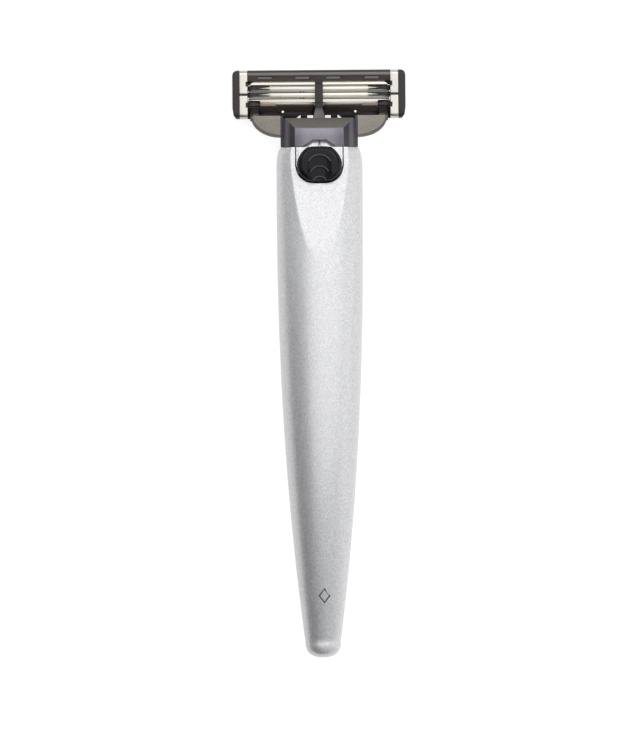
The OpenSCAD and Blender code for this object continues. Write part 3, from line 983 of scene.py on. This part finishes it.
# ---------------------------------------------------------------- the handle
@dataclass
class Handle:
    """The two lacquered shells, with the thumb flat, the connector's mouth and the mark."""

    finishes: Finishes
    butt: float = -71.275
    butt_round: float = 4.05
    top: float = 52.4
    shoulder: float = 47.0
    broad: float = 40.0
    belly: float = 6.0
    flank: float = 26.0
    half: float = 10.45
    top_half: float = 9.25
    depth: float = 7.84
    flat_z: float = 11.96
    wall: float = 1.3
    mouth_half: float = 5.88
    mouth_low: float = 45.72
    button_gap: float = 0.34
    channel_floor: float = 3.6
    around: int = 200

    def half_width(self, y: float) -> float:
        """Half width of the full section at a station."""
        if y > self.shoulder:
            part = (y - self.shoulder) / (self.top - self.shoulder)
            return self.top_half + (self.half - self.top_half) * math.sqrt(max(0.0, 1 - part * part))
        return self.half if y > self.broad else self.half - 1.5e-4 * (self.broad - y) ** 2.27

    def half_depth(self, y: float) -> float:
        """Half depth of the full section at a station."""
        if y > self.flank:
            return self.depth - 0.56 - 0.056 * (y - self.flank)
        if y > self.belly:
            return self.depth - 0.0014 * (y - self.belly) ** 2
        return self.depth - 4.14 * ((self.belly - y) / 73.3) ** 2

    def front(self, y: float) -> float:
        """Height of the front above the table at a station."""
        return 5.1 - (0.00132 if y > 4 else 5.1 / 71.3 ** 2) * (y - 4) ** 2

    def middle(self, y: float) -> float:
        """Height of the parting line at a station."""
        held = max(y, self.butt + self.butt_round)
        return self.front(held) + self.half_depth(held)

    def section(self, y: float) -> tuple[float, float]:
        """Half width and half depth at a station, drawn in at the butt."""
        start = self.butt + self.butt_round
        held = max(y, start)
        scale = 1.0
        if y < start:
            scale = max(0.0, 1 - ((start - y) / self.butt_round) ** 2.5) ** 0.4
        return self.half_width(held) * scale, self.half_depth(held) * scale

    def flat_at(self, y: float) -> float:
        """Height of the thumb flat's plane at a station."""
        return self.flat_z + (self.top - y) * math.tan(math.radians(15))

    def surface(self, x: float, y: float) -> float:
        """Height of the back's surface above a point."""
        wide, deep = self.section(y)
        z = self.middle(y) + deep * math.sqrt(max(0.0, 1 - (x / wide) ** 2))
        return self.eased(z, self.flat_at(y))

    @staticmethod
    def eased(a: float, b: float, soft: float = 0.2) -> float:
        """The lower of two heights, with a slight lip along the corner between them."""
        near = max(soft - abs(a - b), 0.0) / soft
        lip = 0.055 * math.exp(-((a - b + 0.05) / 0.16) ** 2)
        return min(a, b) - near * near * soft / 4 + lip

    def stations(self, fine: float) -> list[float]:
        """Stations along the handle, closer where it curves more."""
        start = self.butt + self.butt_round
        butt = [start - self.butt_round * math.sin(math.radians(t)) ** 0.8 for t in range(90, 0, -6)]
        count = int((self.shoulder - start) / fine)
        long = [start + (self.shoulder - start) * k / count for k in range(count)]
        rise = self.top - self.shoulder
        top = [self.shoulder + rise * math.sin(math.radians(t)) for t in range(0, 91, 6)]
        return butt + long + top

    def half_solid(self, side: int, stations: Sequence[float], inset: float,
                   seam: float) -> bpy.types.Object:
        """One closed half of the handle, from the parting line.

        Args:
            side: 1 for the back, -1 for the front.
            stations: Where its rings lie.
            inset: How far inside the surface it is.
            seam: Chamfer along the parting line.

        Returns:
            The solid.
        """
        rings, arc = len(stations), int(self.around * 0.75)
        Bench.clear()
        bpy.ops.mesh.primitive_cylinder_add(vertices=self.around, radius=1, depth=2, end_fill_type="NGON")
        piece = bpy.context.object
        with Bench.editing(piece, "EDGE"):
            Bench.pick(piece, lambda middle, along: abs(along.z) > 1.5, "edges")
            bpy.ops.mesh.subdivide_edgering(number_cuts=rings - 2)
        base = self.around - arc
        for corner in piece.data.vertices:
            j = round((corner.co.z + 1) / 2 * (rings - 1))
            i = round(math.atan2(corner.co.y, corner.co.x) / (2 * math.pi) * self.around) % self.around
            y = stations[j]
            wide, deep = (max(s - inset, 1e-4) for s in self.section(y))
            middle = self.middle(y)
            if i < arc:
                start = math.asin(min(0.9, seam / deep)) if deep > 3 * seam else 0.0
                angle = start + (math.pi - 2 * start) * i / (arc - 1)
                x, z = wide * math.cos(angle), middle + side * deep * math.sin(angle)
            else:
                part = (i - arc + 1) / (base + 1)
                x, z = (wide - seam) * (2 * part - 1) if wide > seam else 0.0, middle
            if side > 0 and not inset:
                z = self.eased(z, self.flat_at(y))
            corner.co = (x * MM, y * MM, z * MM)
        with Bench.editing(piece, "VERT", everything=True):
            bpy.ops.mesh.remove_doubles(threshold=0.0005 * MM)
            bpy.ops.mesh.normals_make_consistent(inside=False)
        return piece

    def connector_room(self) -> list[bpy.types.Object]:
        """The room that the connector takes up, as cutters."""
        half, low, corner, past_top = self.mouth_half, self.mouth_low, 2.3, 54.0
        outline = [(half, past_top), (-half, past_top)]
        for cx, start in ((-half + corner, 180), (half - corner, 270)):
            turns = [math.radians(start + a) for a in range(0, 91, 6)]
            outline += [(cx + corner * math.cos(t), low + corner + corner * math.sin(t)) for t in turns]
        core = Bench.box((-5.1, -19, -3.6), (5.1, 6, 4), NECK)
        return [Bench.prism(outline, NECK_Z, 27), core]

    def shell(self, side: int) -> bpy.types.Object:
        """One shell, hollow, with the connector's room cut out."""
        piece = self.half_solid(side, self.stations(1.0), 0, 0.09)
        inner = [y for y in self.stations(4.0) if self.butt + 3.6 < y < self.top - 2.5]
        Bench.carve(piece, self.half_solid(side, inner, self.wall, 0.0))
        for cutter in self.connector_room():
            Bench.carve(piece, cutter)
        if side > 0:
            Bench.carve(piece, self.button_channel())
        return piece

    def button_channel(self) -> bpy.types.Object:
        """Cutter for the channel that the lower half of the button sits in."""
        outline = button_outline(self.button_gap)
        return Bench.prism([(x, y) for x, y in outline if y < -2.6], self.channel_floor, 9.0, NECK)

    def mark(self) -> bpy.types.Object:
        """A small hollow lozenge printed near the butt."""
        cx, cy, wide, long, line = 0.4, -56.05, 1.45, 1.95, 0.34
        count = 12
        shrink = 1 - line / (wide * long / math.hypot(wide, long))
        outer, inner = [], []
        corners = [(wide, 0.0), (0.0, long), (-wide, 0.0), (0.0, -long)]
        for k in range(4):
            (ax, ay), (bx, by) = corners[k], corners[(k + 1) % 4]
            for s in range(count):
                x, y = ax + (bx - ax) * s / count, ay + (by - ay) * s / count
                outer.append((cx + x, cy + y))
                inner.append((cx + x * shrink, cy + y * shrink))
        piece = Bench.prism(outer, 0, 1)
        Bench.carve(piece, Bench.prism(inner, -1, 2))
        for corner in piece.data.vertices:
            x, y, level = (c / MM for c in corner.co)
            corner.co.z = (self.surface(x, y) + (0.012 if level > 0.5 else -0.05)) * MM
        return piece

    def build(self) -> None:
        """Make the handle's pieces and dress the connector, screws and weight."""
        f = self.finishes
        for side, word in ((1, "back"), (-1, "front")):
            Bench.finish(self.shell(side), f"{word}_shell", Body.HANDLE, Slot.LACQUER, f.lacquer,
                         [f"handle_{word}_shell"], 40)
        Bench.finish(self.mark(), "printed_lozenge", Body.HANDLE, Slot.LACQUER, f.mark)
        connector = Bench.round_edges(Bench.copy_node("connector_body"), 0.07, 2, 40)
        Bench.finish(connector, "connector_block", Body.HANDLE, Slot.CONNECTOR, f.deck,
                     ["connector_body"], 30)
        dress("connector_screws", f.screw)
        dress("balance_weight", f.weight)


# ---------------------------------------------------------------- the release button
@dataclass
class ReleaseButton:
    """The sliding button with its three nested thumb scoops."""

    finishes: Finishes
    low: float = 4.52
    rim: float = 5.3
    top: float = 6.7
    draw_in: float = 0.3
    scoops: tuple = (((-5.6, 7.25), (3.35, 3.2, 1.2)), ((-7.8, 6.85), (3.05, 2.95, 1.35)),
                     ((-9.45, 6.5), (2.2, 2.1, 1.5)))
    ridges: tuple = ((-5.62, 2.9, 6.5), (-7.85, 2.45, 5.94), (-9.45, 1.66, 5.38))

    def body(self) -> bpy.types.Object:
        """The button's solid: a broad rounded bevel up to a flat top, scooped three times."""
        piece = Bench.prism(button_outline(), self.low, self.rim)
        centre = (0, -4.5 * MM, 0)
        steps = 8
        with Bench.editing(piece, "FACE"):
            Bench.pick(piece, lambda middle, normal: normal.z > 0.9)
            wide, level = 1.0, self.rim
            for k in range(1, steps + 1):
                turn = math.pi / 2 * k / steps
                target = 1 - self.draw_in * (1 - math.cos(turn))
                height = self.rim + (self.top - self.rim) * math.sin(turn)
                step = (0, 0, (height - level) * MM)
                bpy.ops.mesh.extrude_region_move(TRANSFORM_OT_translate={"value": step})
                bpy.ops.transform.resize(value=(target / wide, target / wide, 1), center_override=centre)
                wide, level = target, height
        Bench.round_edges(piece, 0.12, 2, 60)
        for (v, w), radii in self.scoops:
            Bench.clear()
            bpy.ops.mesh.primitive_uv_sphere_add(
                segments=96, ring_count=48, radius=1, location=(0, v * MM, w * MM),
                scale=[r * MM for r in radii])
            Bench.carve(piece, Bench.bake(bpy.context.object))
        Bench.round_edges(piece, 0.09, 2, 24)
        return Bench.bake(piece, NECK)

    def ridge(self, centre: float, radius: float, level: float) -> bpy.types.Object:
        """A crescent ridge along a scoop's upper edge, sinking in at its ends.

        Args:
            centre: Where the arc's middle lies along the button.
            radius: Radius of the arc.
            level: Height of the ridge.

        Returns:
            The ridge.
        """
        Bench.clear()
        bpy.ops.mesh.primitive_torus_add(
            major_segments=120, minor_segments=16, major_radius=radius * MM, minor_radius=0.34 * MM,
            location=(0, centre * MM, level * MM), rotation=(math.radians(7), 0, 0))
        arc = Bench.bake(bpy.context.object)
        low_end = centre + radius * 0.42
        Bench.carve(arc, Bench.box((-8, -20, 0), (8, low_end, 12)))
        return Bench.bake(arc, NECK)

    def build(self) -> None:
        """Make the button with its stem and ridges, and dress the fork and spring."""
        for number, (centre, radius, level) in enumerate(self.ridges, 1):
            Bench.finish(self.ridge(centre, radius, level), f"thumb_ridge_{number}", Body.BUTTON,
                         Slot.BUTTON, self.finishes.ridge)
        stem = Bench.box((-1.4, -6.6, 1.0), (1.4, -4.4, 4.6), NECK)
        piece = Bench.join(self.body(), stem)
        Bench.finish(piece, "thumb_button", Body.BUTTON, Slot.BUTTON, self.finishes.button,
                     ["release_button"], 40)
        dress("ejector_fork", self.finishes.dark)
        coil_spring("button_spring", "return_spring", Body.BUTTON,
                    self.finishes.spring)


# ---------------------------------------------------------------- the hub
@dataclass
class Hub:
    """The hub that slides over the nose, with wings, bearing arms and the spring plunger."""

    finishes: Finishes

    def body(self) -> bpy.types.Object:
        """The hub's moulding with rounded edges."""
        piece = Bench.copy_node("cartridge_hub")
        return Bench.round_edges(piece, 0.14, 2, 28)

    def tongue(self) -> bpy.types.Object:
        """The plunger with a raised rim round its sloping tip."""
        piece = Bench.copy_node("plunger")
        with Bench.editing(piece, "FACE"):
            Bench.pick(piece, lambda middle, normal: normal.z > 0.9)
            bpy.ops.mesh.inset(thickness=0.16 * MM, depth=-0.07 * MM)
        return Bench.round_edges(piece, 0.05, 2, 28)

    def build(self) -> None:
        """Make the hub's pieces."""
        f = self.finishes
        Bench.finish(self.body(), "hub_body", Body.HUB, Slot.HUB, f.hub, ["cartridge_hub"], 32)
        Bench.finish(self.tongue(), "plunger_tongue", Body.PLUNGER, Slot.PLUNGER, f.plunger,
                     ["plunger"], 32)
        coil_spring("plunger_spring", "plunger_coil", Body.HUB, f.spring)


# ---------------------------------------------------------------- the cartridge
@dataclass
class Cartridge:
    """Housing, clips, guard, lubricating strip and the three floating blades."""

    finishes: Finishes
    guard: float = 59.6
    edges: tuple[float, ...] = (63.3, 64.85, 66.4)
    window_half: float = 17.25
    blade_half: float = 18.2
    support_half: float = 18.0
    pockets: tuple[float, ...] = (-13.1, -4.0, 3.5, 12.8)
    pocket_y: float = 69.4
    pocket_size: tuple[float, float] = (3.7, 0.8)
    post_x: float = 8.8
    post_y: float = 61.15
    pivot: tuple[float, float] = (62.5, 0.5)
    arm_reach: float = 64.05
    weld_x: tuple[float, ...] = (-4.5, -3.7)

    @property
    def across(self) -> Matrix:
        """Frame of a section drawn in y and z and run along x."""
        return Matrix(((0, 0, 1, 0), (1, 0, 0, 0), (0, 1, 0, 0), (0, 0, 0, 1)))

    @staticmethod
    def oval(cx: float, cy: float, long: float, wide: float) -> list[tuple[float, float]]:
        """Outline of a slot with round ends."""
        r, reach = wide / 2, long / 2 - wide / 2
        right = [(cx + reach + r * math.cos(math.radians(a)), cy + r * math.sin(math.radians(a)))
                 for a in range(-90, 91, 15)]
        left = [(cx - reach + r * math.cos(math.radians(a)), cy + r * math.sin(math.radians(a)))
                for a in range(90, 271, 15)]
        return right + left

    def housing(self) -> bpy.types.Object:
        """The housing's moulding, with four shallow pockets in its back and room for the fingers."""
        piece = Bench.copy_node("cartridge_housing")
        for cx in self.pockets:
            Bench.carve(piece, Bench.prism(self.oval(cx, self.pocket_y, *self.pocket_size), 5.3, 6.5))
        # the guard bar is cut back before the first support, but for a thin web at each end
        bar, window = self.guard + 3.25, self.window_half
        cuts = ((1.0, window, bar, 1.9, 2.78), (1.0, window, bar, 3.3, 5.0),
                (1.0, 10.4, bar, 2.7, 3.4), (10.4, 14.4, bar + 0.4, 2.7, 3.4))
        for side in (-1, 1):
            for near, far, start, low, high in cuts:
                Bench.carve(piece, Bench.side_box(side, (near, far), (start, bar + 1.65), (low, high)))
            for e in self.edges[1:]:
                Bench.carve(piece, Bench.side_box(side, (11.9, window), (e + 0.3, e + 0.9), (2.7, 3.4)))
        Bench.tidy(piece)
        return Bench.round_edges(piece, 0.09, 2, 30)

    def pin_heads(self) -> None:
        """Pale heads of the carrier's pins, set in the pockets."""
        for number, cx in enumerate(self.pockets, 1):
            long, wide = (side - 0.16 for side in self.pocket_size)
            head = Bench.prism(self.oval(cx, self.pocket_y, long, wide), 5.2, 5.47)
            Bench.round_edges(head, 0.1, 3, 40)
            Bench.finish(head, f"pin_head_{number}", Body.CARTRIDGE, Slot.CARRIER, self.finishes.pad)

    def rib_cap(self) -> None:
        """Raised cap along the middle rib, with a paler pad at its upper end."""
        cap = Bench.box((-0.95, 63.3, 4.8), (0.95, 69.0, 5.12))
        Bench.round_edges(cap, 0.14, 3, 40)
        Bench.finish(cap, "rib_cap", Body.CARTRIDGE, Slot.HOUSING, self.finishes.housing)
        pad = Bench.box((-0.8, 68.85, 5.0), (0.8, 69.65, 5.56))
        Bench.round_edges(pad, 0.16, 3, 40)
        Bench.finish(pad, "rib_pad", Body.CARTRIDGE, Slot.HOUSING, self.finishes.rib_pad)

    def clip(self, side: int, name: str) -> None:
        """One aluminium clip, wrapped round the housing, with rounded edges."""
        node = "clip_right" if side > 0 else "clip_left"
        piece = Bench.copy_node(node)
        Bench.round_edges(piece, 0.1, 3, 35)
        Bench.finish(piece, name, Body.CARTRIDGE, Slot.CLIP, self.finishes.clip, [node])

    def support(self, k: int) -> bpy.types.Object:
        """One blade support: an upper flange bent down into a leg.

        Args:
            k: Which blade, from 0.

        Returns:
            The support.
        """
        e = self.edges[k]
        half = self.support_half - 0.9
        low = -0.42 if k == 0 else -0.18
        foot = 1.13 if k == 2 else 1.36
        bend = 0.24
        section = [(low, 1.98), (low + 0.05, 2.14), (bend - 0.06, 2.24), (bend, 2.16), (bend + 0.06, 2.32),
                   (0.98, 2.4), (1.08, 2.28), (1.08, 1.0), (foot, 1.0), (foot, 0.86), (0.84, 0.74),
                   (0.8, 2.16), (bend, 2.04)]
        piece = Bench.prism([(e + y, z) for y, z in section], -half, half, self.across)
        if k == 0:
            Bench.carve(piece, Bench.box((-1.2, e - 1, 1.2), (1.2, e + 0.25, 6)))
            for low_x, high_x in ((-17.0, -14.3), (14.3, 17.0)):
                Bench.carve(piece, Bench.prism(self.arm_sweep(), low_x, high_x, self.across))
        for side in (-1, 1):
            Bench.join(piece, Bench.side_box(
                side, (half, self.support_half), (e + 0.8, e + 1.08), (0.9, 2.3)))
        return Bench.round_edges(piece, 0.04, 2, 30)

    def arm_sweep(self) -> list[tuple[float, float]]:
        """Section of the room that the hub's arm needs as the cartridge turns."""
        (y, z), reach, top = self.pivot, self.arm_reach, 6.0
        angles = [math.radians(45 + 8 * k) for k in range(12)]
        inner = [(y + 1.35 * math.cos(a), z + 1.35 * math.sin(a)) for a in angles]
        return inner + [(y - 4, top), (reach, top), (reach, z + reach - y)]

    def weld(self, k: int, x: float) -> bpy.types.Object:
        """A tiny spot weld on a support's lower edge."""
        e = self.edges[k]
        return Bench.rod((x, e - 0.18, 2.0), (x, e - 0.18, 2.2), 0.15, 20, tip=0.11)

    def blade(self, k: int) -> bpy.types.Object:
        """One blade with a ground edge.

        Args:
            k: Which blade, from 0.

        Returns:
            The blade.
        """
        e = self.edges[k]
        tilt = math.radians(22.5)
        section = []
        for along, across in ((0, 0), (0.32, 0.05), (1.1, 0.05), (1.1, -0.05), (0.32, -0.05)):
            section.append((e + along * math.cos(tilt) - across * math.sin(tilt),
                            0.3 + along * math.sin(tilt) + across * math.cos(tilt)))
        return Bench.prism(section, -self.blade_half, self.blade_half, self.across)

    def finger(self, side: int, k: int) -> bpy.types.Object:
        """A springy finger of the housing over the end of a support.

        Args:
            side: 1 for the right, -1 for the left.
            k: Which blade, from 0.

        Returns:
            The finger.
        """
        e = self.edges[k]
        outline = [(17.35, e + 0.16), (12.0, e + 0.16), (12.0, e + 0.3), (15.2, e + 0.6), (12.0, e + 0.88),
                   (12.0, e + 1.2), (17.35, e + 1.2)]
        piece = Bench.prism([(side * x, y) for x, y in outline], 2.82, 3.3)
        return Bench.round_edges(piece, 0.05, 2, 40)

    def leaf(self, side: int) -> bpy.types.Object:
        """The curved leaf over the end of the first support."""
        outline = [(17.35, 62.7), (17.35, 63.55), (16.4, 63.75), (15.2, 63.55), (14.3, 63.3), (14.3, 62.9),
                   (15.6, 62.62)]
        piece = Bench.prism([(side * x, y) for x, y in outline], 2.82, 3.4)
        return Bench.round_edges(piece, 0.12, 3, 40)

    def corner_web(self, side: int) -> bpy.types.Object:
        """The housing's web across a corner of the blade window, under the rail's slanted end."""
        outline = [(17.4, 67.7), (17.4, 68.75), (15.4, 68.75), (16.2, 67.95)]
        return Bench.round_edges(Bench.prism([(side * x, y) for x, y in outline], 2.0, 2.6), 0.05, 2, 40)

    def guard_rubber(self) -> bpy.types.Object:
        """The rubber guard: a strip with five rounded fins."""
        strip = Bench.box((-17, self.guard + 0.9, 0.75), (17, self.guard + 3.35, 1.33))
        fins = []
        for k in range(5):
            y = self.guard + 0.92 + 0.51 * k
            section = [(y, 0.25), (y + 0.24, 0.25), (y + 0.34, 0.8), (y, 0.8)]
            fin = Bench.prism(section, -16.9, 16.9, self.across)
            fins.append(Bench.round_edges(fin, 0.05, 2, 40))
        return Bench.join(strip, *fins)

    def post_head(self, side: int) -> bpy.types.Object:
        """The bright domed head of a post in the recess."""
        x, y = side * self.post_x, self.post_y + 0.1
        return Bench.round_edges(Bench.rod((x, y, 3.3), (x, y, 3.62), 0.4, 32, tip=0.3), 0.08, 3, 40)

    def rail(self) -> bpy.types.Object:
        """The carrier's rail along the window, slanted at its ends."""
        low, high, long, short = 67.72, 68.72, 16.9, 15.7
        outline = [(-long, low), (long, low), (short, high), (-short, high)]
        return Bench.round_edges(Bench.prism(outline, 3.9, 4.6), 0.1, 2, 20)

    def ends(self, side: int, word: str) -> None:
        """Make the pieces at one end of the cartridge.

        Args:
            side: 1 for the right, -1 for the left.
            word: left or right, for their names.
        """
        f = self.finishes
        self.clip(side, f"wrap_clip_{word}")
        for k in (1, 2):
            Bench.finish(self.finger(side, k), f"finger_{word}_{k}", Body.CARTRIDGE, Slot.HOUSING, f.housing)
        leaf = Bench.finish(self.leaf(side), f"leaf_{word}", Body.CARTRIDGE, Slot.HOUSING, f.housing)
        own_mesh(leaf)
        Bench.finish(self.corner_web(side), f"corner_web_{word}", Body.CARTRIDGE, Slot.HOUSING, f.housing)
        Bench.finish(self.post_head(side), f"post_head_{word}", Body.CARTRIDGE, Slot.CLIP, f.post)

    def blade_unit(self, k: int, body: Body) -> None:
        """Make one blade with its support and its spot welds.

        Args:
            k: Which blade, from 0.
            body: The body that it floats on.
        """
        f = self.finishes
        Bench.finish(self.support(k), f"support_{k + 1}", body, Slot.SUPPORT, f.support,
                     [f"blade_support_{k + 1}"])
        Bench.finish(self.blade(k), f"honed_blade_{k + 1}", body, Slot.BLADE, f.blade,
                     [f"blade_{k + 1}"], 10)
        for number, x in enumerate(self.weld_x if k else (), 1):
            Bench.finish(self.weld(k, x), f"weld_{k + 1}_{number}", body, Slot.SUPPORT, f.dark)

    def build(self) -> None:
        """Make the cartridge's pieces."""
        f = self.finishes
        Bench.finish(self.housing(), "housing_body", Body.CARTRIDGE, Slot.HOUSING, f.housing,
                     ["cartridge_housing"], 32)
        self.pin_heads()
        self.rib_cap()
        self.ends(-1, "left")
        self.ends(1, "right")
        for k, body in enumerate((Body.UNIT_1, Body.UNIT_2, Body.UNIT_3)):
            self.blade_unit(k, body)
        Bench.finish(self.rail(), "carrier_rail", Body.CARTRIDGE, Slot.CARRIER, f.rail)
        Bench.finish(self.guard_rubber(), "finned_guard", Body.CARTRIDGE, Slot.GUARD, f.guard,
                     ["guard_strip"])
        dress("strip_carrier", f.carrier)
        dress("lubricating_strip", f.gel)


# ---------------------------------------------------------------- studio
@dataclass
class Studio:
    """Camera, floor and lights."""

    view_tall: float = 176.9
    lens: float = 320.0
    sensor: float = 36.0
    aim: Point = (-0.25, -0.4, 9.0)
    roll: float = -0.45
    floor_shade: Colour = srgb(160, 160, 160)

    def camera(self) -> None:
        """Look straight down on the razor, the cartridge at the top."""
        data = bpy.data.cameras.new("camera")
        data.lens = self.lens
        data.sensor_width = self.sensor
        data.clip_start = 0.01
        distance = self.view_tall * self.lens / self.sensor
        eye = bpy.data.objects.new("camera", data)
        eye.location = (self.aim[0] * MM, self.aim[1] * MM, (self.aim[2] + distance) * MM)
        eye.rotation_euler = Euler((0, 0, math.radians(self.roll)))
        bpy.context.scene.collection.objects.link(eye)
        bpy.context.scene.camera = eye

    def floor(self) -> None:
        """A wide pale table."""
        Bench.clear()
        bpy.ops.mesh.primitive_plane_add(size=3.0, location=(0, 0, -0.00002))
        table = bpy.context.object
        table.name = "table"
        g = Graph("table_white")
        soft = g.noise(0.02, 2)
        table.data.materials.append(g.finish(
            Base_Color=g.blend(soft, self.floor_shade, srgb(164, 164, 164)), Roughness=0.9,
            Specular_IOR_Level=0.0, Emission_Color=(1.0, 1.0, 1.0), Emission_Strength=0.8))

    @staticmethod
    def softbox(name: str, at: Point, to: Point, size: tuple[float, float], power: float) -> None:
        """One rectangular soft light.

        Args:
            name: Its name.
            at: Where it stands, in metres.
            to: What it points at, in metres.
            size: Width and height, in metres.
            power: Power in watts.
        """
        data = bpy.data.lights.new(name, "AREA")
        data.shape = "RECTANGLE"
        data.size, data.size_y = size
        data.energy = power
        lamp = bpy.data.objects.new(name, data)
        lamp.location = at
        lamp.visible_camera = False
        lamp.rotation_euler = (Vector(to) - Vector(at)).to_track_quat("-Z", "Y").to_euler()
        bpy.context.scene.collection.objects.link(lamp)

    @staticmethod
    def room() -> None:
        """A dim room, darker on the left than on the right."""
        world = bpy.data.worlds.new("room")
        world.use_nodes = True
        nodes, links = world.node_tree.nodes, world.node_tree.links
        where = nodes.new("ShaderNodeTexCoord")
        lean = nodes.new("ShaderNodeVectorMath")
        lean.operation = "DOT_PRODUCT"
        lean.inputs[1].default_value = (1.0, 1.2, 0.0)
        rise = nodes.new("ShaderNodeMapRange")
        for key, given in (("From Min", -1.25), ("From Max", -0.5), ("To Min", 0.0), ("To Max", 0.62)):
            rise.inputs[key].default_value = given
        links.new(where.outputs["Generated"], lean.inputs[0])
        links.new(lean.outputs["Value"], rise.inputs["Value"])
        links.new(rise.outputs[0], nodes["Background"].inputs["Strength"])
        nodes["Background"].inputs["Color"].default_value = (0.93, 0.95, 1.0, 1)
        bpy.context.scene.world = world

    def build(self) -> None:
        """Set up the studio."""
        self.camera()
        self.floor()
        self.softbox("overhead", (0.4, 0.66, 1.3), (0.4, 0.66, 0), (2.2, 2.4), 18.2)
        self.softbox("front_strip", (0.0, 0.95, 0.8), (0, 0.06, 0), (1.3, 0.3), 2.6)
        self.softbox("right_panel", (1.35, 0.0, 0.5), (0, 0, 0), (1.3, 0.8), 2.9)
        self.room()
        bpy.context.scene.view_settings.view_transform = "Standard"


def main() -> None:
    """Build the razor and its studio."""
    logging.basicConfig(level=logging.INFO, format="%(message)s")
    finishes = Finishes()
    Studio().build()
    for part in (Handle, ReleaseButton, Hub, Cartridge):
        part(finishes).build()


if __name__ == "__main__":
    main()
